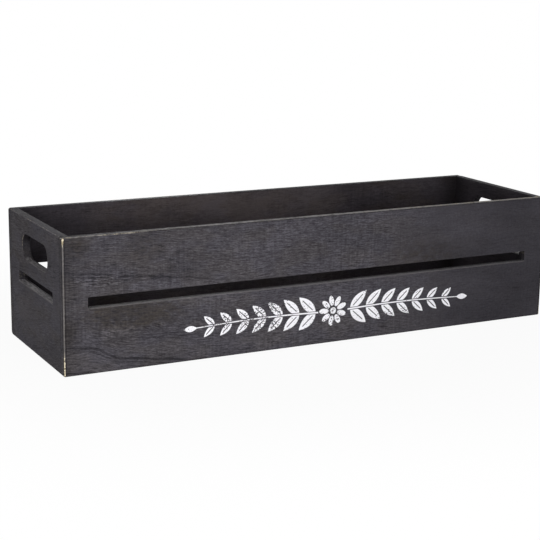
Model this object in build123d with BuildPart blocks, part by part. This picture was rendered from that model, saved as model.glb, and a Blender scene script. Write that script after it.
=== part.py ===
from build123d import *
import os

# A long open wooden planter box, pinned at its corners, with a slot through each wall board and a
# handle hole in each end board. Origin at the middle of the underside, +X along the box, -Y the
# front, +Z up. Millimetres.

os.makedirs("parts", exist_ok=True)

# The box outside
box_length = 500
box_depth = 150
box_height = 120

# Boards
wall = 8
base_thickness = 6

# The handle hole in each end board
handle_width = 70
handle_height = 24
handle_side_flat = 1  # straight stretch of each upright side, between its corner arcs
handle_rail = 15.5  # wood above the hole

# The slots, which all lie at one height
slot_height = 10
slot_rail = 13  # wood between the handle hole and the end slot
long_slot_land = 22  # wood between a long slot and the end of its board
end_slot_land = 19.5  # wood between an end slot and the edge of its board
slot_corner = 0.8

# Sanded edges
outer_arris = 1
inner_arris = 0.5
handle_arris = 1
slot_arris = 0.4
top_corner = 2  # round of each long board's two top corners
front_foot = 1.5  # round of the front board's lower outer edge
back_foot = 4  # round of the back board's lower outer edge

# The steel pins, driven in below the surface and covered with filler
pin_diameter = 1.2
pin_length = 20
pin_head_diameter = 2
pin_head_thickness = 0.8
pin_point = 0.4
pin_fit = 0.05  # clearance round each pin
filler_depth = 0.8
corner_pins = 4  # in each corner
corner_pin_margin = 16  # from the lowest and highest pin to the edge of the board
long_base_pins = 6  # through each long board into the base
end_base_pins = 2  # through each end board into the base
base_pin_margin = 35  # from the inside corner to the first pin in the base

# Worked out from the sizes above
inside_length = box_length - 2 * wall
inside_depth = box_depth - 2 * wall
handle_middle = box_height - handle_rail - handle_height / 2
handle_corner = (handle_height - handle_side_flat) / 2
slot_middle = handle_middle - handle_height / 2 - slot_rail - slot_height / 2

# A plane on the outside of each wall, with its normal pointing out and its y axis up
front_plane = Plane(origin=(0, -box_depth / 2, 0), x_dir=(1, 0, 0), z_dir=(0, -1, 0))
back_plane = Plane(origin=(0, box_depth / 2, 0), x_dir=(-1, 0, 0), z_dir=(0, 1, 0))
left_plane = Plane(origin=(-box_length / 2, 0, 0), x_dir=(0, -1, 0), z_dir=(-1, 0, 0))
right_plane = Plane(origin=(box_length / 2, 0, 0), x_dir=(0, 1, 0), z_dir=(1, 0, 0))


def spread(count, low, high):
    """Evenly spaced places from low to high."""
    return [low + (high - low) * i / (count - 1) for i in range(count)]


# Where each row of pins goes in: the outside of a wall, and places on that plane
corner_x = (inside_length + wall) / 2
corner_z = spread(corner_pins, corner_pin_margin, box_height - corner_pin_margin)
base_x = spread(long_base_pins, base_pin_margin - inside_length / 2, inside_length / 2 - base_pin_margin)
base_y = spread(end_base_pins, base_pin_margin - inside_depth / 2, inside_depth / 2 - base_pin_margin)
base_z = base_thickness / 2
pin_rows = {
    "front_left_corner_pins": (front_plane, [(-corner_x, z) for z in corner_z]),
    "front_right_corner_pins": (front_plane, [(corner_x, z) for z in corner_z]),
    "back_left_corner_pins": (back_plane, [(corner_x, z) for z in corner_z]),
    "back_right_corner_pins": (back_plane, [(-corner_x, z) for z in corner_z]),
    "base_front_pins": (front_plane, [(x, base_z) for x in base_x]),
    "base_back_pins": (back_plane, [(x, base_z) for x in base_x]),
    "base_left_pins": (left_plane, [(y, base_z) for y in base_y]),
    "base_right_pins": (right_plane, [(y, base_z) for y in base_y]),
}


# The holes that the pins fill, with the heads seated below the surface
with BuildPart() as pin_holes:
    for plane, places in pin_rows.values():
        with BuildSketch(plane.offset(-filler_depth)):
            with Locations(*places):
                Circle(pin_head_diameter / 2 + pin_fit)
        extrude(amount=-pin_head_thickness)
        with BuildSketch(plane.offset(-filler_depth)):
            with Locations(*places):
                Circle(pin_diameter / 2 + pin_fit)
        extrude(amount=-pin_length - pin_fit)


def long_board(outside, foot):
    """The front or back board, which runs the whole length and covers the end boards' edges."""
    with BuildPart() as board:
        with BuildSketch(outside):
            with Locations((0, box_height / 2)):
                Rectangle(box_length, box_height)
            with Locations((0, slot_middle)):
                slot_length = box_length - 2 * long_slot_land
                RectangleRounded(slot_length, slot_height, slot_corner, mode=Mode.SUBTRACT)
        extrude(amount=-wall)
        across = Axis(outside.origin, outside.z_dir)
        inner_face = board.faces().sort_by(across)[0]
        outer_face = board.faces().sort_by(across)[-1]
        slot_rims = inner_face.inner_wires().edges() + outer_face.inner_wires().edges()
        chamfer(slot_rims, slot_arris)
        chamfer(inner_face.outer_wire().edges().sort_by(Axis.Z)[-1], inner_arris)
        top_face = board.faces().sort_by(Axis.Z)[-1]
        fillet(top_face.edges().filter_by(Axis.Y), top_corner)
        outer_face = board.faces().sort_by(across)[-1]
        fillet(outer_face.outer_wire().edges().sort_by(Axis.Z)[0], foot)
        outer_face = board.faces().sort_by(across)[-1]
        fillet(outer_face.outer_wire().edges().sort_by(Axis.Z)[-1], outer_arris)
        add(pin_holes.part, mode=Mode.SUBTRACT)
    return board


def end_board(outside):
    """A left or right board, which fits between the long boards and has the handle hole."""
    with BuildPart() as board:
        with BuildSketch(outside):
            with Locations((0, box_height / 2)):
                Rectangle(inside_depth, box_height)
            with Locations((0, handle_middle)):
                RectangleRounded(handle_width, handle_height, handle_corner, mode=Mode.SUBTRACT)
            with Locations((0, slot_middle)):
                slot_length = inside_depth - 2 * end_slot_land
                RectangleRounded(slot_length, slot_height, slot_corner, mode=Mode.SUBTRACT)
        extrude(amount=-wall)
        across = Axis(outside.origin, outside.z_dir)
        inner_face = board.faces().sort_by(across)[0]
        outer_face = board.faces().sort_by(across)[-1]
        inner_rims = inner_face.inner_wires().sort_by(Axis.Z)
        outer_rims = outer_face.inner_wires().sort_by(Axis.Z)
        slot_rims = inner_rims[0].edges() + outer_rims[0].edges()
        handle_rims = inner_rims[-1].edges() + outer_rims[-1].edges()
        inner_top = inner_face.outer_wire().edges().sort_by(Axis.Z)[-1]
        outer_edges = outer_face.outer_wire().edges().filter_by(Axis.Y)
        chamfer(inner_top, inner_arris)
        fillet(outer_edges, outer_arris)
        fillet(handle_rims, handle_arris)
        chamfer(slot_rims, slot_arris)
        add(pin_holes.part, mode=Mode.SUBTRACT)
    return board


front_panel = long_board(front_plane, front_foot)
front_panel.part.label = "front_panel"
export_step(front_panel.part, "parts/front_panel.step")

back_panel = long_board(back_plane, back_foot)
back_panel.part.label = "back_panel"
export_step(back_panel.part, "parts/back_panel.step")

left_end_panel = end_board(left_plane)
left_end_panel.part.label = "left_end_panel"
export_step(left_end_panel.part, "parts/left_end_panel.step")

right_end_panel = end_board(right_plane)
right_end_panel.part.label = "right_end_panel"
export_step(right_end_panel.part, "parts/right_end_panel.step")


# The base, let in between the four walls and flush with their lower edges
with BuildPart() as base_board:
    with BuildSketch(Plane.XY):
        Rectangle(inside_length, inside_depth)
    extrude(amount=base_thickness)
    add(pin_holes.part, mode=Mode.SUBTRACT)
base_board.part.label = "base_board"
export_step(base_board.part, "parts/base_board.step")


# The pins, one group of separate solids for each joint
for name, (plane, places) in pin_rows.items():
    with BuildPart() as pins:
        with BuildSketch(plane.offset(-filler_depth)):
            with Locations(*places):
                Circle(pin_diameter / 2)
        extrude(amount=-pin_length)
        into = Axis(plane.origin, -plane.z_dir)
        chamfer(pins.edges().group_by(into)[-1], pin_point)
        with BuildSketch(plane.offset(-filler_depth)):
            with Locations(*places):
                Circle(pin_head_diameter / 2)
        extrude(amount=-pin_head_thickness)
    pins.part.label = name
    export_step(pins.part, f"parts/{name}.step")
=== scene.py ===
import math

import bpy
from mathutils import Matrix, Vector


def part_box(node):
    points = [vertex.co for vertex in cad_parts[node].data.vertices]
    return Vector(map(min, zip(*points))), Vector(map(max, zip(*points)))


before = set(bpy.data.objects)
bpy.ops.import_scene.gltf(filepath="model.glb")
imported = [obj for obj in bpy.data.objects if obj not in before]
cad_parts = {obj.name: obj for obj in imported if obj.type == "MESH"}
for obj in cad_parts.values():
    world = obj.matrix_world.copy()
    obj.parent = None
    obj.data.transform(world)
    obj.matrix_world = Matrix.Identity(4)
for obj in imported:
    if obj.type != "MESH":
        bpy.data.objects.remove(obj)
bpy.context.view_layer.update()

# Sizes in millimetres, the outside ones from the frame
MM = 0.001
front_low, front_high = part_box("front_panel")
HALF_LENGTH = front_high.x / MM
HALF_DEPTH = -front_low.y / MM
HEIGHT = front_high.z / MM
WALL = (front_high.y - front_low.y) / MM
BASE = 6.0
SLOT_MIDDLE = 62.5
SLOT_HALF_HEIGHT = 5.0
SLOT_CORNER = 0.8
LONG_SLOT_HALF = 228.0
END_SLOT_HALF = 47.5
HANDLE_MIDDLE = 92.5
HANDLE_HALF_WIDTH = 35.0
HANDLE_HALF_HEIGHT = 12.0
HANDLE_CORNER = 11.5

# Colours, as linear values
STAIN_DARK = (0.020, 0.0185, 0.0215)
STAIN_MID = (0.056, 0.052, 0.0585)
STAIN_PALE = (0.115, 0.108, 0.121)
WARM_TINT = (1.005, 0.992, 0.965)
COOL_TINT = (0.985, 0.993, 1.03)
BROWN_TINT = (0.94, 0.87, 0.70)
INSIDE_TINT_AND_SHADE = (0.80, 0.745, 0.745)
# Dark stain of the joints, also used as painted shade in corners, slots and on top faces
DARK_STAIN_AND_SHADE = (0.007, 0.006, 0.007)
# Rubbed stain, also used as the painted light on slot floors and lips
RUBBED_AND_LIT = (0.44, 0.42, 0.425)
RAW_WOOD = (0.66, 0.58, 0.43)
RAW_BROWN = (0.20, 0.16, 0.09)
PRINT_WHITE = (0.90, 0.892, 0.93)
STEEL = (0.55, 0.55, 0.56, 1)
FLOOR_PALE = (0.8, 0.8, 0.8, 1)
WHITE = (1, 1, 1, 1)


class Shade:
    """A value flowing through a material's nodes, so that shader maths reads as an expression."""

    def __init__(self, paint, socket):
        self.paint = paint
        self.socket = socket

    def maths(self, operation, *others):
        values = {place: value for place, value in enumerate((self, *others))}
        return self.paint.node("Math", {"operation": operation}, values)

    def __add__(self, other):
        return self.maths("ADD", other)

    def __sub__(self, other):
        return self.maths("SUBTRACT", other)

    def __mul__(self, other):
        return self.maths("MULTIPLY", other)

    def __truediv__(self, other):
        return self.maths("DIVIDE", other)

    def __pow__(self, other):
        return self.maths("POWER", other)

    def __neg__(self):
        return self.maths("MULTIPLY", -1.0)

    def __rsub__(self, other):
        return -self + other

    def __abs__(self):
        return self.maths("ABSOLUTE")

    __radd__ = __add__
    __rmul__ = __mul__


class Paint:
    """The node tree of one material, or of the world."""

    def __init__(self, tree):
        self.tree = tree
        tree.nodes.clear()

    def node(self, kind, settings=None, sockets=None, output=0):
        """Adds a node, gives it its settings and then its sockets' values or links."""
        made = self.tree.nodes.new("ShaderNode" + kind)
        for name, value in (settings or {}).items():
            if name == "stops":
                while len(made.color_ramp.elements) < len(value):
                    made.color_ramp.elements.new(0.5)
                for element, (place, colour) in zip(made.color_ramp.elements, value):
                    element.position = place
                    element.color = (*colour, 1)
            else:
                setattr(made, name, value)
        for name, value in (sockets or {}).items():
            if isinstance(value, Shade):
                self.tree.links.new(value.socket, made.inputs[name])
            else:
                made.inputs[name].default_value = value
        if made.outputs:
            return Shade(self, made.outputs[output])

    def lowest(self, first, *others):
        for other in others:
            first = first.maths("MINIMUM", other)
        return first

    def highest(self, first, *others):
        for other in others:
            first = first.maths("MAXIMUM", other)
        return first

    def held(self, value):
        """The value held between 0 and 1."""
        return self.lowest(self.highest(value, 0.0), 1.0)

    def ramp(self, value, low, high, start=0.0, end=1.0):
        """Runs smoothly from start to end while value runs from low to high."""
        sockets = {"Value": value, "From Min": low, "From Max": high, "To Min": start, "To Max": end}
        return self.node("MapRange", {"interpolation_type": "SMOOTHSTEP", "clamp": True}, sockets)

    def course(self, value, stops):
        """Runs smoothly from one stop to the next, where a stop is a place and what it gives."""
        (low, start), (high, end), *later = stops
        total = self.ramp(value, low, high, start, end)
        for high_place, next_end in later:
            low, start, high, end = high, end, high_place, next_end
            if end != start:
                total = total + self.ramp(value, low, high, 0.0, end - start)
        return total

    def hump(self, value, middle, reach):
        """1 where value is at the middle, falling to 0 at reach from it."""
        return self.ramp(abs(value - middle), 0.0, reach, 1.0, 0.0)

    def zone(self, x, z, place):
        """A place on a board: its strength in its middle, falling to 0 at its reach along and up."""
        middle_x, reach_x, middle_z, reach_z, strength = place
        return self.hump(x, middle_x, reach_x) * self.hump(z, middle_z, reach_z) * strength

    def blend(self, share, a, b, kind="MIX"):
        """A colour between a and b, or a multiplied by b."""
        a = a if isinstance(a, Shade) else (*a, 1)
        b = b if isinstance(b, Shade) else (*b, 1)
        return self.node("Mix", {"data_type": "RGBA", "blend_type": kind}, {0: share, 6: a, 7: b}, 2)

    def join(self, x, y, z):
        return self.node("CombineXYZ", {}, {"X": x, "Y": y, "Z": z})

    def noise(self, place, detail=3.0, roughness=0.5, scale=1.0):
        sockets = {"Vector": place, "Scale": scale, "Detail": detail, "Roughness": roughness}
        return self.node("TexNoise", {"noise_dimensions": "3D"}, sockets)


class Spot:
    """Where a point of the surface lies on the box, in millimetres, and how it is chipped and specked."""

    def __init__(self, paint):
        place = paint.node("TexCoord", {}, {}, "Object")
        split = paint.node("SeparateXYZ", {}, {"Vector": place}, "X").socket.node
        self.x, self.y, self.z = [Shade(paint, split.outputs[axis]) * (1 / MM) for axis in "XYZ"]
        self.here = paint.join(self.x, self.y, self.z)
        self.from_end = HALF_LENGTH - abs(self.x)
        self.from_side = HALF_DEPTH - abs(self.y)
        self.depth = paint.lowest(self.from_end, self.from_side)
        self.inside = paint.ramp(self.depth, WALL - 0.6, WALL - 0.1)
        self.front = paint.ramp(self.y, -10.0, 10.0, 1.0, 0.0)
        self.slow = paint.ramp(paint.noise(self.here, 2.0, 0.5, 0.024), 0.40, 0.66)
        self.chip = paint.noise(self.here, 3.0, 0.6, 0.42) - 0.5
        self.speck = paint.noise(self.here, 2.0, 0.5, 1.7) - 0.5


def rim_distance(paint, u, v, half_u, half_v, corner):
    """Distance in millimetres outside the rim of a rounded hole round the middle of u and v."""
    out_u = abs(u) - (half_u - corner)
    out_v = abs(v) - (half_v - corner)
    far_u = paint.highest(out_u, 0.0)
    far_v = paint.highest(out_v, 0.0)
    outside = (far_u * far_u + far_v * far_v) ** 0.5
    return outside + paint.lowest(paint.highest(out_u, out_v), 0.0) - corner


# The printed sprig on the front: its middle, leaves, stem, tips and daisy, in millimetres
SPRIG_X = 10.0
SPRIG_Z = 30.5
SPRIG_WAVE = 2.0
INK_EDGE = 0.35
LEAF_PITCH = 17.0
LEAF_PAIRS = 7
LEAF_START = 18.5
LEAF_LENGTH = 23.5
LEAF_TAPER = 0.45
LEAF_LEAN = math.radians(42)
LEAF_WIDTH = 0.72
VEIN_HALF = 0.28
STEM_HALF = 0.9
STEM_TAPER = 0.35
STEM_START = 15.5
TIP_LENGTH = 13.0
TIP_WIDTH = 11.5
DAISY_RISE = 0.8
DAISY_HEART = 3.0
PETALS = 9
PETAL_MIDDLE = 9.6
PETAL_HALF_LENGTH = 4.9
PETAL_HALF_WIDTH = 2.55


def sprig(paint, x, z):
    """1 on the printed sprig of leaves with a daisy in its middle, 0 elsewhere."""
    u = x - SPRIG_X
    s = abs(u)
    end = LEAF_START + LEAF_PITCH * LEAF_PAIRS
    wave = (s * (math.pi / end)).maths("SINE") * SPRIG_WAVE
    v = z - SPRIG_Z - wave + SPRIG_WAVE / 2
    rise = abs(v)

    cell = ((s - LEAF_START) / LEAF_PITCH).maths("FLOOR")
    cell = paint.lowest(paint.highest(cell, 0.0), LEAF_PAIRS - 1.0)
    from_root = s - LEAF_START - cell * LEAF_PITCH
    length = LEAF_LENGTH * (1.0 - cell * (LEAF_TAPER / LEAF_PAIRS))
    a = from_root * math.cos(LEAF_LEAN) + rise * math.sin(LEAF_LEAN)
    b = rise * math.cos(LEAF_LEAN) - from_root * math.sin(LEAF_LEAN)
    share = paint.held(a / length)
    half_width = (share ** 0.8) * (1.0 - share) * length * LEAF_WIDTH
    leaf = paint.ramp(half_width - abs(b), 0.0, INK_EDGE)
    beside_vein = paint.ramp(abs(b), VEIN_HALF, 0.6)
    past_vein = paint.ramp(share, 0.74, 0.80) + paint.ramp(share, 0.14, 0.20, 1.0, 0.0)
    leaf = leaf * paint.lowest(beside_vein + past_vein, 1.0) * paint.ramp(rise, 1.1, 1.5)

    thin = STEM_HALF - s * (STEM_TAPER / end)
    stem = paint.ramp(thin - rise, 0.0, 0.3) * paint.ramp(s, end + 1.0, end + 1.3, 1.0, 0.0)
    stem = stem * paint.ramp(s, STEM_START, STEM_START + 0.3)
    tip = paint.held((s - end) / TIP_LENGTH)
    tip_leaf = paint.ramp(tip * (1.0 - tip) * TIP_WIDTH - rise, 0.0, INK_EDGE)

    over = v - DAISY_RISE
    distance = (u * u + over * over) ** 0.5
    turn = over.maths("ARCTAN2", u) * (PETALS / (2 * math.pi))
    from_petal = (turn.maths("FRACT") - 0.5) * (2 * math.pi / PETALS)
    petal_a = distance * from_petal.maths("COSINE") - PETAL_MIDDLE
    petal_b = distance * from_petal.maths("SINE")
    petal = (petal_a / PETAL_HALF_LENGTH) ** 2.0 + (petal_b / PETAL_HALF_WIDTH) ** 2.0
    petals = paint.ramp(petal, 0.88, 1.08, 1.0, 0.0)
    heart = paint.ramp(distance, DAISY_HEART, DAISY_HEART + 0.4, 1.0, 0.0)
    return paint.highest(leaf, stem, tip_leaf, petals, heart)


def worn_print(paint, x, y, z):
    """The sprig as printed, with the ink rubbed off in specks, and thinner towards its left."""
    here = paint.join(x, y, z)
    speck = paint.noise(here, 3.0, 0.6, 0.75)
    area = paint.noise(here, 1.0, 0.5, 0.045)
    limit = 0.66 - paint.ramp(area, 0.45, 0.65) * 0.10 - paint.ramp(x, -60.0, 60.0, 0.03, 0.0)
    kept = paint.ramp(speck - limit, -0.02, 0.02, 1.0, 0.0)
    on_face = paint.ramp(y, -HALF_DEPTH + 0.5, -HALF_DEPTH + 0.6, 1.0, 0.0)
    thickness = paint.ramp(x, -60.0, 140.0, 0.93, 1.0)
    return sprig(paint, x, z) * kept * on_face * thickness


# Spacing of the dark ring lines, and where the front board's lie, in millimetres
RING_PITCH = 21.7
FRONT_RING_SHIFT = 17.0


def grain(paint, along, across, through, bend):
    """The fibres, fine fibres, pores and dark ring lines of a board, each from 0 to 1."""
    wander = paint.noise(paint.join(along * 0.032, across * 0.08, through * 0.08), 2.0, 0.5) * 4.6
    bent = across + bend * 0.62 + wander
    fibre = paint.noise(paint.join(along * 0.115, bent * 0.92, through * 0.92), 3.0, 0.65)
    fine = paint.noise(paint.join(along * 0.36, bent * 2.0, through * 2.0), 3.0, 0.6)
    fleck = paint.noise(paint.join(along * 0.07, bent * 1.15, through * 1.15 + 40.0), 2.0, 0.55)
    ring = ((across + bend + wander) / RING_PITCH + through * 0.02).maths("FRACT")
    line = paint.hump(ring, 0.5, 0.08) * 1.15 + paint.hump(ring, 0.36, 0.065) * 0.5
    return fibre, fine, paint.ramp(fleck, 0.575, 0.66), line


def board_bend(paint, spot, along, across, through):
    """How far a board's rings stray from straight lines."""
    sway = paint.noise(paint.join(along * 0.0055, across * 0.016, through * 0.02), 2.0, 0.5)
    return sway * 34.0


def front_bend(paint, spot, along, across, through):
    """The front board's rings fall slowly to the right, with a step near its lower left corner."""
    fall = (paint.lowest(spot.x, -90.0) + 240.0) * 0.125 + paint.highest(spot.x + 90.0, 0.0) * 0.04
    step = paint.ramp(spot.x, -226.0, -198.0) * paint.ramp(spot.z, 22.0, 50.0, 8.5, 0.0)
    sway = paint.noise(paint.join(spot.x * 0.0075, spot.z * 0.018, 5.0), 2.0, 0.5) - 0.5
    return fall + step + sway * paint.ramp(spot.x, -140.0, -20.0, 3.0, 20.0) + FRONT_RING_SHIFT


def end_bend(paint, spot, along, across, through):
    """The end boards' grain climbs gently towards the front."""
    sway = paint.noise(paint.join(along * 0.012, across * 0.020, through * 0.02), 2.0, 0.5)
    return sway * 22.0 + spot.y * paint.ramp(spot.z, 15.0, 75.0, 0.34, 0.10)


def board_figure(paint, spot, along, across, through, patch, fibre):
    """How lively a board's grain is, how brown, how blue, how much lighter, and how strong its rings."""
    noise = paint.noise(paint.join(along * 0.016, across * 0.045, through + 7.0), 2.0, 0.5)
    lively = paint.ramp(noise, 0.38, 0.60, 0.42, 0.95)
    brown = paint.noise(paint.join(along * 0.020, across * 0.05, through * 0.05 + 3.0), 3.0, 0.6)
    brown = paint.ramp(brown, 0.48, 0.68) * 0.5
    lined = paint.noise(paint.join(along * 0.012, across * 0.05, through + 20.0), 2.0, 0.5)
    return lively, brown, 0.0, brown * -0.10, paint.ramp(lined, 0.40, 0.58, 0.08, 0.26)


def back_figure(paint, spot, along, across, through, patch, fibre):
    """The same for the back board, whose inside has a pool of painted light along its middle, tinted brown
    there, and painted light where it is seen through the left hand hole.
    """
    lively, brown, _, lighter, lined = board_figure(paint, spot, along, across, through, patch, fibre)
    # A pool of painted light on the inside, along the middle
    middle = paint.ramp(spot.x, -205.0, -95.0) * paint.ramp(spot.x, 60.0, 125.0, 1.0, 0.15)
    middle = middle * paint.ramp(spot.z, 80.0, 112.0, 0.55, 1.0)
    # Painted light on the shaded inside seen through the left hand hole, with a little painted shade near
    # its top
    painted_light_by_left_handle = spot.inside * paint.ramp(spot.x, -215.0, -150.0, 1.0, 0.0)
    pale = spot.inside * middle * (0.22 + patch * 0.34)
    pale = pale + painted_light_by_left_handle * paint.ramp(spot.z, 90.0, 104.0, 0.27, -0.06)
    brown = paint.highest(brown * (1.0 - painted_light_by_left_handle * 0.9), spot.inside * middle * 0.45)
    return lively, brown, painted_light_by_left_handle, lighter + pale, lined * (1.0 - spot.inside * 0.7)


def end_figure(paint, spot, along, across, through, patch, fibre):
    """The same for the end boards, which are plain and even, with painted light towards the back, painted
    shade towards the front, and painted shade on the right end's inside.
    """
    lively, brown, _, lighter, lined = board_figure(paint, spot, along, across, through, patch, fibre)
    # Painted light towards the back and painted shade towards the front, mostly low down, and painted
    # shade on the right end's inside
    behind = paint.ramp(spot.y, -55.0, 55.0, -0.06, 0.09) * paint.ramp(spot.z, 45.0, 75.0, 1.0, 0.2)
    painted_shade_right_inside = spot.inside * paint.ramp(spot.x, -10.0, 10.0, 0.0, 0.30)
    lively = lively * paint.ramp(spot.z, 55.0, 70.0, 0.50, 0.75)
    lighter = lighter + 0.01 + behind - painted_shade_right_inside
    return lively, brown * 0.5, spot.inside * 0.6, lighter, lined * 0.35


# Places on the front board: middle and reach along it, middle and reach up it, and strength
SOAKED_BELOW_SLOT = (-188.0, 68.0, 51.0, 23.0, 1.6)
SOAKED_TOP_LEFT = (-238.0, 18.0, 112.0, 20.0, 0.7)
SOAKED_TOP = (-178.0, 28.0, 108.0, 26.0, 0.5)
SOAKED_RIGHT = (110.0, 62.0, 74.0, 22.0, 0.7)
STREAKS_ABOVE_SLOT = (-218.0, 40.0, 81.0, 8.0, 1.0)
STREAKS_LOW = (-203.0, 34.0, 35.0, 7.0, 1.0)

# How far the soaked patch below the slot falls for each millimetre to the right
SOAKED_FALL = 0.05


def front_figure(paint, spot, along, across, through, patch, fibre):
    """The same for the front board, which is streaky at its left end and plain at its right; its livelier
    grain at the left stands for a sheen, and it darkens towards the right as painted shade.
    """
    x, z = spot.x, spot.z
    fallen = z + (x - SOAKED_BELOW_SLOT[0]) * SOAKED_FALL
    below_slot = paint.zone(x, fallen, SOAKED_BELOW_SLOT)
    others = [paint.zone(x, z, place) for place in (SOAKED_TOP_LEFT, SOAKED_TOP, SOAKED_RIGHT)]
    soaked = paint.highest(below_slot, *others)
    mottle = paint.noise(paint.join(x * 0.12, z * 0.19, 9.0), 3.0, 0.6)
    soaked = soaked * (0.5 + patch * 1.1) * paint.ramp(mottle, 0.36, 0.60, 0.40, 1.35)
    soaked = paint.lowest(soaked, 1.0)
    streaks = paint.zone(x, z, STREAKS_ABOVE_SLOT)
    low_streaks = paint.zone(x, z, STREAKS_LOW)
    low_left = paint.ramp(x, -215.0, -150.0, 1.0, 0.0) * paint.ramp(z, 14.0, 23.0, 1.0, 0.0)
    left_edge = paint.highest(paint.hump(z, 40.0, 36.0), paint.hump(z, 106.0, 26.0) * 0.6, 0.45)
    left_edge = left_edge * paint.ramp(x + mottle * 12.0, -243.0, -225.0, 1.0, 0.0)
    left_edge = left_edge * paint.ramp(spot.from_end, 0.05, 0.4)
    upper_left = paint.ramp(x, -160.0, -60.0, 1.0, 0.0) * paint.ramp(z, 70.0, 84.0)
    lower_right = paint.ramp(x, 110.0, 190.0) * paint.ramp(z, 45.0, 60.0, 1.0, 0.0)

    # Livelier grain at the left, standing for the sheen that shows it there
    lively = paint.ramp(x, 20.0, 150.0, 0.76, 0.14) + streaks * 0.45 + low_streaks * 0.20 - soaked * 0.30
    lively = paint.highest(lively - low_left * 0.10, 0.10)
    brown = paint.highest(soaked, left_edge * 0.7) * (0.55 + paint.ramp(fibre, 0.42, 0.62) * 0.45)
    blue = paint.ramp(x, 20.0, 170.0, 0.0, 0.8)

    pale_streaks = (streaks + low_streaks * 0.8) * (paint.ramp(fibre, 0.38, 0.60) - 0.30) * 0.32
    lighter = pale_streaks + low_streaks * 0.20 + low_left * 0.06 - upper_left * 0.10 - lower_right * 0.065
    # The soaked and left-edge patches darken the stain; the board also darkens towards the right, painted
    # shade where the sheen fades
    lighter = lighter - soaked * 0.17 - left_edge * 0.30 - paint.ramp(x, 60.0, 200.0, 0.0, 0.11)
    lighter = lighter + paint.ramp(x, 225.0, 240.0, 0.0, 0.04)

    above_slot = paint.hump(z, 81.0, 20.0)
    along_foot = paint.ramp(z, 23.0, 28.0, 1.0, 0.0) * paint.ramp(x, -150.0, -125.0, 1.0, 0.2)
    lined = 0.04 + paint.highest(above_slot, along_foot) * paint.ramp(z, 26.0, 60.0, 0.36, 0.28)
    lined = lined * paint.ramp(x, -105.0, -60.0, 1.0, 0.12) * (1.0 - streaks * 0.3)
    return lively, brown, blue, lighter, lined


def joints_and_painted_shade(paint, spot, direction):
    """Dark stain in the joints, darker along the foot of the inside walls and on the base board next to
    them, and painted shade in the inside corners.
    """
    if direction == "flat":
        return paint.ramp(spot.depth - WALL, 0.2, 1.2, 0.8, 0.0)
    if direction == "x":
        joint = paint.ramp(WALL - spot.from_side, 0.1, 0.6, 0.45, 0.0)
        joint = joint * paint.ramp(spot.from_end - WALL, 0.3, 1.0, 1.0, 0.0)
    else:
        joint = paint.ramp(spot.from_side - WALL, 0.2, 1.0, 0.6, 0.0)
    base_line = paint.ramp(spot.depth, WALL - 0.6, WALL - 0.2)
    base_line = base_line * paint.ramp(spot.z, BASE + 0.2, BASE + 1.4, 0.7, 0.0)
    # Painted shade in the inside corners, stronger at the right end
    corner = paint.ramp(paint.highest(spot.from_end, spot.from_side), WALL, WALL + 32.0)
    corner = spot.inside * (1.0 - corner) * paint.ramp(spot.x, -20.0, 20.0, 0.35, 0.72)
    return paint.highest(joint, base_line, corner)


def near_edge(paint, distance, reach):
    """1 within reach of an edge, fading to 0 just past it."""
    return paint.ramp(reach - distance, -0.3, 0.35)


# The bare line along the front board's top: stops along the board, in millimetres, and the value at each
LINE_MIDDLE = ((-235.0, -74.3), (-100.0, -71.0), (0.0, -71.0), (190.0, -68.0))
LINE_REACH = ((-235.0, 2.6), (-110.0, 5.0), (0.0, 5.0), (200.0, 7.2))
LINE_RUBBED = (
    (-235.0, 0.52), (-190.0, 0.27), (-150.0, 0.27), (-100.0, 0.60),
    (-70.0, 0.60), (60.0, 1.26), (110.0, 1.26), (220.0, 1.96),
)
LINE_BARE = ((-235.0, 0.60), (-120.0, 0.12), (0.0, 0.12), (200.0, 1.02))


def top_line(paint, spot, front_board, patchy, flaking):
    """Shares of rubbed stain and raw wood in the line along the front board's top."""
    over_edge = spot.y - (HEIGHT - spot.z) * 4.0
    across = abs(over_edge - paint.course(spot.x, LINE_MIDDLE)) / paint.course(spot.x, LINE_REACH)
    line = paint.ramp(across, 0.25, 0.85, 1.0, 0.0)
    line = line * front_board * paint.ramp(spot.z, HEIGHT - 1.4, HEIGHT - 1.0)
    strong = paint.course(spot.x, LINE_RUBBED) * paint.ramp(patchy, 0.38, 0.60, 0.60, 1.40)
    nicks = paint.noise(paint.join(spot.x * 0.24, spot.y * 0.40, spot.z * 0.24), 3.0, 0.7) - 0.5
    rubbed = line * strong * paint.highest(spot.chip * 0.8 + nicks * 5.0 + 1.05, 0.12)
    raw = line * paint.course(spot.x, LINE_BARE) * paint.ramp(flaking, -0.15, 0.30)
    return rubbed, raw


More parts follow.
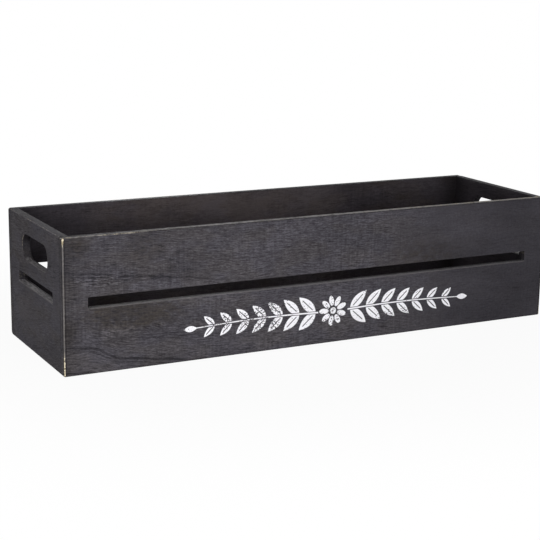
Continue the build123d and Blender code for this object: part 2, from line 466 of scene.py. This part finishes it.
def edge_wear(paint, spot):
    """Shares of rubbed stain, raw wood, and darkened stain beside the uprights with painted shade on the
    top faces, along the outer edges of the box.
    """
    chip, speck, slow, front = spot.chip, spot.speck, spot.slow, spot.front
    to_top = paint.highest(spot.depth, HEIGHT - spot.z)
    to_bottom = paint.highest(spot.depth, spot.z)
    to_upright = paint.highest(spot.from_end, spot.from_side)
    left = paint.ramp(spot.x, -10.0, 10.0, 1.0, 0.0)
    fore = 0.35 + front * 0.65
    front_board = paint.ramp(spot.y, -HALF_DEPTH + WALL, -HALF_DEPTH + WALL + 0.6, 1.0, 0.0)
    left_alone = 1.0 - front_board * paint.ramp(spot.x, -225.0, -140.0, 0.35, 0.90)
    patchy = paint.noise(spot.here, 2.0, 0.6, 0.13)
    flaking = chip * 1.7 + speck * 0.9
    line_rubbed, line_raw = top_line(paint, spot, front_board, patchy, flaking)

    rubbed_top = near_edge(paint, to_top, chip * 1.1 + speck * 0.5 + 0.75)
    rubbed_top = rubbed_top * (slow * 0.10 + 0.115 + front * 0.085)
    rubbed_top = rubbed_top * left_alone * paint.ramp(patchy, 0.38, 0.60, 0.60, 1.10)
    rubbed_upright = near_edge(paint, to_upright, chip * 0.7 + 1.0) * (slow * 0.06 + 0.14) * fore
    rubbed_bottom = near_edge(paint, to_bottom, chip * 1.1 + 0.5) * 0.10
    rubbed = paint.highest(rubbed_top, rubbed_upright, rubbed_bottom, line_rubbed)

    high = paint.ramp(spot.z, HEIGHT - 9.0, HEIGHT - 2.5) * 1.5
    low = paint.ramp(spot.z, 3.0, 36.0, 1.0, 0.0) * 1.1
    upper_left = left * paint.ramp(spot.z, 80.0, 106.0, 0.0, 0.08)
    raw_top = near_edge(paint, to_top, flaking + slow * 0.7 + front * 0.2 - 0.55) * left_alone
    raw_upright = near_edge(paint, to_upright, flaking * 0.7 - 0.15 + high + low + upper_left) * fore
    thin_upright = near_edge(paint, to_upright, chip * 0.7 + 1.1) * left * front * 0.04
    raw_bottom = near_edge(paint, to_bottom, flaking + slow * 0.5 - 0.35) * 0.6
    raw = paint.highest(raw_top, raw_upright, thin_upright, raw_bottom, line_raw)

    on_end_face = paint.ramp(spot.from_end, 0.05, 0.4, 1.0, 0.0)
    beside_upright = paint.ramp(to_upright - on_end_face * 0.9, 1.8, 2.6, 1.0, 0.0)
    beside_upright = paint.ramp(to_upright, 1.2, 1.5) * beside_upright * 0.65
    # Painted shade on the top faces, stronger on the front board
    on_top = paint.ramp(spot.z, HEIGHT - 0.9, HEIGHT - 0.3) * (0.24 + front_board * 0.26)
    return rubbed, raw, paint.highest(beside_upright, on_top)


# How deep into the long and the end slots their pale floors reach, in millimetres, and how pale they are:
# paler stain with painted light where the lamps would reach
LONG_SLOT_LIT = 4.5
END_SLOT_LIT = 6.0
LONG_SLOT_FLOOR_LIGHT = 0.21
END_SLOT_FLOOR_LIGHT = 0.42
HANDLE_FLOOR_LIGHT = 0.34


def long_slot(paint, spot):
    """A long board's slot: its rim, end walls, dark far end and pale floor with painted light, and how
    deep that is lit.
    """
    rim = rim_distance(paint, spot.x, spot.z - SLOT_MIDDLE, LONG_SLOT_HALF, SLOT_HALF_HEIGHT, SLOT_CORNER)
    end_wall = paint.ramp(abs(spot.x), LONG_SLOT_HALF - 1.0, LONG_SLOT_HALF - 0.3)
    end_wall = end_wall * paint.ramp(spot.z, SLOT_MIDDLE + 1.0, SLOT_MIDDLE + 3.0)
    far_end = paint.ramp(spot.x, LONG_SLOT_HALF - 1.5, LONG_SLOT_HALF - 0.5)
    # Painted light, brightest along the middle of the slot
    pale = LONG_SLOT_FLOOR_LIGHT + paint.hump(spot.x, 10.0, 150.0) * 0.13
    return rim, end_wall, far_end, pale, LONG_SLOT_LIT


def end_slot(paint, spot):
    """The same for an end board's slot, which has no dark far end."""
    rim = rim_distance(paint, spot.y, spot.z - SLOT_MIDDLE, END_SLOT_HALF, SLOT_HALF_HEIGHT, SLOT_CORNER)
    end_wall = paint.ramp(spot.y, END_SLOT_HALF - 8.0, END_SLOT_HALF - 3.0)
    end_wall = end_wall * paint.hump(spot.z, SLOT_MIDDLE, 6.0)
    return rim, end_wall, 0.0, END_SLOT_FLOOR_LIGHT, END_SLOT_LIT


def hand_hole(paint, spot):
    """The hand hole's rim, painted shade on its wall, and the raw crescent and dark ring at its far end.
    """
    size = (HANDLE_HALF_WIDTH, HANDLE_HALF_HEIGHT, HANDLE_CORNER)
    rim = rim_distance(paint, spot.y, spot.z - HANDLE_MIDDLE, *size)
    # Painted shade on the hand hole's wall, darker towards its top and deeper in
    wall = paint.ramp(spot.z, 84.0, 100.0, 0.02, 0.36)
    wall = wall + paint.ramp(spot.z, 88.0, 100.0) * paint.ramp(spot.depth, 2.5, 7.0, 0.0, 0.5)
    far_rim = paint.ramp(spot.y, 25.0, 31.0)
    crescent = far_rim * paint.hump(spot.z, 97.0, 12.0) * paint.ramp(rim, 0.5, 1.2, 1.0, 0.0)
    ring = far_rim * paint.hump(spot.z, 98.0, 12.0) * paint.hump(rim, 2.6, 2.4) * 0.42
    return rim, wall, crescent, ring


def hole_wear(paint, spot, direction):
    """Shares of pale stain with painted light and rubbed rims, raw wood, and painted shade with dark marks
    round the slot and the hand hole.
    """
    chip = spot.chip
    if direction == "x":
        hole, end_wall, far_end, pale, lit = long_slot(paint, spot)
        handle_wall_shade, crescent, ring = 0.0, 0.0, 0.0
    else:
        slot, end_wall, far_end, pale, lit = end_slot(paint, spot)
        handle, handle_wall_shade, crescent, ring = hand_hole(paint, spot)
        hole = paint.lowest(slot, handle)
    to_face = paint.lowest(abs(spot.depth), abs(spot.depth - WALL))
    rim = paint.highest(abs(hole), to_face)
    on_cut = paint.ramp(to_face, 0.3, 0.9) * paint.ramp(hole, 0.2, 0.5, 1.0, 0.0)
    slot_floor = paint.hump(spot.z, SLOT_MIDDLE - SLOT_HALF_HEIGHT, 0.8)
    hole_floor = paint.hump(spot.z, HANDLE_MIDDLE - HANDLE_HALF_HEIGHT, 3.0)

    streak = paint.noise(paint.join(spot.x * 0.11, spot.y * 0.11, spot.depth * 0.55), 2.0, 0.6)
    # Painted light on the slot and hand hole floors, as far in as the lamps would reach, on their paler
    # cut faces
    outer_part = paint.ramp(spot.depth, lit - 0.6, lit + 0.5, 1.0, 0.0)
    painted_light_floor = on_cut * outer_part * (slot_floor * pale + hole_floor * HANDLE_FLOOR_LIGHT)
    painted_light_floor = painted_light_floor * paint.ramp(streak, 0.38, 0.60, 0.50, 1.40)
    # A rubbed rim, with a painted highlight along the lower lips of the slots and the hand hole
    rubbed_and_lit_lip = near_edge(paint, rim, chip * 1.2 + 0.35 + slot_floor * 0.3)
    rubbed_and_lit_lip = rubbed_and_lit_lip * (0.065 + slot_floor * 0.18 + hole_floor * 0.09) * (1.0 - far_end * 0.9)

    outside = paint.ramp(spot.depth, 1.5, 2.5, 1.0, 0.0)
    raw = near_edge(paint, rim, crescent * 0.8 + chip * 1.4 - 0.25)
    raw = raw * outside * (0.8 - crescent * 0.62) * (1.0 - far_end)
    bare_end = on_cut * end_wall * paint.ramp(chip + spot.speck * 0.7, 0.0, 0.16) * 0.12

    # Painted shade deep in the slots and on the hand hole's wall, with the dark far end, dark ring and
    # darker end walls
    past_slot = abs(spot.z - SLOT_MIDDLE) - SLOT_HALF_HEIGHT
    in_slot = paint.ramp(past_slot, 1.0, 2.0, 1.0, 0.0)
    painted_shade_deep_slot = in_slot * paint.ramp(spot.depth, lit - 0.3, lit + 0.8) * 0.93
    painted_shade_handle = (1.0 - in_slot) * handle_wall_shade * (1.0 - hole_floor)
    deep = on_cut * paint.highest(painted_shade_deep_slot, painted_shade_handle, far_end * 0.75)
    deep = paint.highest(deep, ring, on_cut * end_wall * 0.30)
    return paint.highest(painted_light_floor, rubbed_and_lit_lip), paint.highest(raw, bare_end), deep


# How far each part of the figure lightens or darkens the stain, where 0.5 gives its middle colour
FIBRE_DEPTH = 0.60
FINE_DEPTH = 0.44
FLECK_DEPTH = 0.27
FLECK_LEAST = 0.07
SANDING_LEAST = 0.16
SANDING_DEPTH = 0.50
PATCH_DEPTH = 0.55
GRIT_DEPTH = 0.42

# How far the grain of one board lies from the next one's, along and across, in millimetres
NEXT_ALONG = 913.0
NEXT_ACROSS = 37.0

# Roughness, gloss and relief of the stained boards
ROUGHNESS = 0.62
GLOSS = 0.07
RELIEF = 0.28
RELIEF_HEIGHT = 0.5 * MM


def new_paint(name):
    """A new material, and the paint that fills it."""
    material = bpy.data.materials.new(name)
    material.use_nodes = True
    return material, Paint(material.node_tree)


def stained_wood(name, direction, seed, bending, figure, inked=None):
    """Black-stained board with its grain, brown and thin patches, sanding marks and raw worn edges, and
    painted light and shade in its slots, hand holes, corners and on its top and inside faces.
    """
    material, paint = new_paint(name)
    spot = Spot(paint)
    x, y, z = spot.x, spot.y, spot.z
    along, across, through = {"x": (x, z, y), "y": (y, z, x), "flat": (x, y, z)}[direction]
    along = along + seed * NEXT_ALONG
    across = across + seed * NEXT_ACROSS
    bend = bending(paint, spot, along, across, through)
    fibre, fine, fleck, line = grain(paint, along, across, through, bend)
    patch = paint.noise(paint.join(along * 0.013, across * 0.035, through * 0.03), 3.0, 0.55)
    sanding = paint.noise(paint.join(along * 0.50, across * 0.045, through * 0.2), 1.0, 0.5)
    sanded = paint.noise(paint.join(along * 0.012, across * 0.02, through + 90.0), 2.0, 0.5)
    sanded = paint.ramp(sanded, 0.38, 0.60)
    grit = paint.noise(spot.here, 3.0, 0.65, 0.62)
    hue = paint.noise(paint.join(along * 0.03, across * 0.055, through * 0.05 + 60.0), 2.0, 0.5)
    hue = paint.ramp(hue, 0.40, 0.60)
    lively, brown, blue, lighter, lined = figure(paint, spot, along, across, through, patch, fibre)
    lively = lively * (1.0 - spot.inside * 0.5)

    light = 0.5 + (paint.ramp(fibre, 0.32, 0.68) - 0.5) * lively * FIBRE_DEPTH
    light = light + (paint.ramp(fine, 0.34, 0.66) - 0.5) * lively * FINE_DEPTH
    light = light - fleck * (lively * FLECK_DEPTH + FLECK_LEAST) - line * lined * (1.0 - spot.inside * 0.5)
    light = light + (sanding - 0.5) * (SANDING_LEAST + sanded * SANDING_DEPTH) * lively
    light = light + (patch - 0.5) * PATCH_DEPTH + (grit - 0.5) * GRIT_DEPTH + lighter
    stops = [(0.0, STAIN_DARK), (0.5, STAIN_MID), (1.0, STAIN_PALE)]
    colour = paint.node("ValToRGB", {"stops": stops}, {"Fac": light})
    colour = paint.blend(1.0, colour, paint.blend(hue + blue, WARM_TINT, COOL_TINT), "MULTIPLY")
    colour = paint.blend(brown, colour, BROWN_TINT, "MULTIPLY")
    # Inside faces darker and browner: their own tint together with painted shade
    colour = paint.blend(spot.inside, colour, INSIDE_TINT_AND_SHADE, "MULTIPLY")
    colour = paint.blend(joints_and_painted_shade(paint, spot, direction), colour, DARK_STAIN_AND_SHADE)

    # Rubbed stain with painted light on the slot floors and lips, raw wood, and dark marks with painted
    # shade
    rubbed, worn, dark = edge_wear(paint, spot)
    if direction != "flat":
        rim_pale_stain_and_light, rim_worn, deep = hole_wear(paint, spot, direction)
        rubbed = paint.highest(rubbed, rim_pale_stain_and_light)
        worn = paint.highest(worn, rim_worn)
        dark = paint.highest(dark, deep)
    colour = paint.blend(dark, colour, DARK_STAIN_AND_SHADE)
    colour = paint.blend(rubbed, colour, RUBBED_AND_LIT)
    raw = paint.blend(paint.ramp(spot.chip, -0.12, 0.08), RAW_BROWN, RAW_WOOD)
    colour = paint.blend(worn, colour, raw)

    rough = ROUGHNESS - (fibre - 0.5) * 0.22 + fleck * 0.08 + worn * 0.1
    if inked:
        ink = inked(paint, x, y, z)
        colour = paint.blend(ink, colour, PRINT_WHITE)
        rough = rough + ink * 0.05
    height = fibre * 0.6 + fine * 0.35 - fleck * 0.3 - line * 0.2 + sanding * 0.1 - worn * 0.15
    bump = paint.node("Bump", {}, {"Strength": RELIEF, "Distance": RELIEF_HEIGHT, "Height": height})
    board = {"Base Color": colour, "Roughness": rough, "Normal": bump, "Specular IOR Level": GLOSS}
    surface = paint.node("BsdfPrincipled", {}, board)
    paint.node("OutputMaterial", {}, {"Surface": surface})
    return material


def pin_steel():
    """Plain bright steel wire."""
    material, paint = new_paint("pin_steel")
    drawn = paint.noise(Spot(paint).here, 3.0, 0.6, 2.0)
    rough = 0.32 + (drawn - 0.5) * 0.2
    surface = paint.node("BsdfPrincipled", {}, {"Base Color": STEEL, "Metallic": 1.0, "Roughness": rough})
    paint.node("OutputMaterial", {}, {"Surface": surface})
    return material


def dress(node, material):
    """Gives a node of the frame its material."""
    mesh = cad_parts[node].data
    mesh.materials.clear()
    mesh.materials.append(material)


front_wood = stained_wood("front_wood", "x", 0.0, front_bend, front_figure, worn_print)
back_wood = stained_wood("back_wood", "x", 1.0, board_bend, back_figure)
end_wood = stained_wood("end_wood", "y", 2.0, end_bend, end_figure)
base_wood = stained_wood("base_wood", "flat", 3.0, board_bend, board_figure)
steel = pin_steel()
dress("front_panel", front_wood)
dress("back_panel", back_wood)
dress("left_end_panel", end_wood)
dress("right_end_panel", end_wood)
dress("base_board", base_wood)
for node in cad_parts:
    if node.endswith("_pins"):
        dress(node, steel)


# The floor: white to the camera but for a faint shadow near the box, and clear from below. In metres
FLOOR_SIZE = 24
FLOOR_DROP = 0.2 * MM
SHADOW_NEAR = 0.2
SHADOW_FAR = 0.55
SHADOW_GLOW = 0.94
bpy.ops.object.select_all(action="DESELECT")
bpy.ops.mesh.primitive_plane_add(size=FLOOR_SIZE, location=(0, 0, -FLOOR_DROP))
floor = bpy.context.object
floor.name = "floor"
floor_white, paint = new_paint("floor_white")
place = paint.node("TexCoord", {}, {}, "Object")
distance = paint.node("VectorMath", {"operation": "LENGTH"}, {0: place}, "Value")
seen = paint.node("LightPath", {}, {}, "Is Camera Ray")
plain = paint.node("BsdfDiffuse", {}, {"Color": FLOOR_PALE})
glow = paint.node("Emission", {}, {"Color": WHITE, "Strength": 1.0})
share = seen * paint.ramp(distance, SHADOW_NEAR, SHADOW_FAR, SHADOW_GLOW, 1.0)
above = paint.node("MixShader", {}, {0: share, 1: plain, 2: glow})
from_below = paint.node("NewGeometry", {}, {}, "Backfacing")
clear = paint.node("BsdfTransparent")
surface = paint.node("MixShader", {}, {0: from_below, 1: above, 2: clear})
paint.node("OutputMaterial", {}, {"Surface": surface})
floor.data.materials.append(floor_white)

# The world: white to the camera and in gloss, and much softer as light
SKY_LIGHT = 0.10
world = bpy.data.worlds.new("studio")
bpy.context.scene.world = world
world.use_nodes = True
paint = Paint(world.node_tree)
camera_ray = paint.node("LightPath", {}, {}, "Is Camera Ray")
glossy_ray = Shade(paint, camera_ray.socket.node.outputs["Is Glossy Ray"])
clear_ray = Shade(paint, camera_ray.socket.node.outputs["Is Transmission Ray"])
shown = paint.highest(camera_ray, glossy_ray, clear_ray)
strength = SKY_LIGHT + shown * (1.0 - SKY_LIGHT)
sky = paint.node("Background", {}, {"Color": WHITE, "Strength": strength})
paint.node("OutputWorld", {}, {"Surface": sky})


def soft_light(name, place, aim, size, power):
    """A square soft light at a place, turned towards a point."""
    lamp = bpy.data.lights.new(name, "AREA")
    lamp.shape = "SQUARE"
    lamp.size = size
    lamp.energy = power
    holder = bpy.data.objects.new(name, lamp)
    bpy.context.scene.collection.objects.link(holder)
    holder.location = place
    holder.rotation_mode = "QUATERNION"
    holder.rotation_quaternion = (Vector(aim) - Vector(place)).to_track_quat("-Z", "Y")


# Two lamps light the front and the left end, and two low ones behind light the other sides as much
BOX_MIDDLE = (0.0, 0, 0.06)
LEFT_END = (-0.25, 0, 0.06)
RIGHT_END = (0.25, 0, 0.06)
soft_light("key", (-0.19, -0.74, 0.20), BOX_MIDDLE, 0.36, 4.4)
soft_light("side", (-0.90, -0.25, 0.32), LEFT_END, 0.20, 2.4)
soft_light("back", (0.19, 0.80, 0.09), BOX_MIDDLE, 0.20, 4.2)
soft_light("far_side", (0.90, 0.40, 0.12), RIGHT_END, 0.16, 2.3)

# The camera, at the photograph's viewing angle
YAW = math.radians(27.618)
PITCH = math.radians(13.152)
ROLL = math.radians(0.896)
CAMERA_PLACE = (-0.6102, -1.1338, 0.3543)
LENS_LENGTH = 91.492
SENSOR_WIDTH = 36
ahead = Vector((math.sin(YAW) * math.cos(PITCH), math.cos(YAW) * math.cos(PITCH), -math.sin(PITCH)))
level_right = Vector((math.cos(YAW), -math.sin(YAW), 0))
level_up = level_right.cross(ahead)
right = level_right * math.cos(ROLL) + level_up * math.sin(ROLL)
up = level_up * math.cos(ROLL) - level_right * math.sin(ROLL)
lens = bpy.data.cameras.new("camera")
lens.lens = LENS_LENGTH
lens.sensor_width = SENSOR_WIDTH
camera = bpy.data.objects.new("camera", lens)
bpy.context.scene.collection.objects.link(camera)
turn = Matrix((right, up, -ahead)).transposed().to_4x4()
camera.matrix_world = Matrix.Translation(CAMERA_PLACE) @ turn
bpy.context.scene.camera = camera
bpy.context.scene.view_settings.view_transform = "Standard"
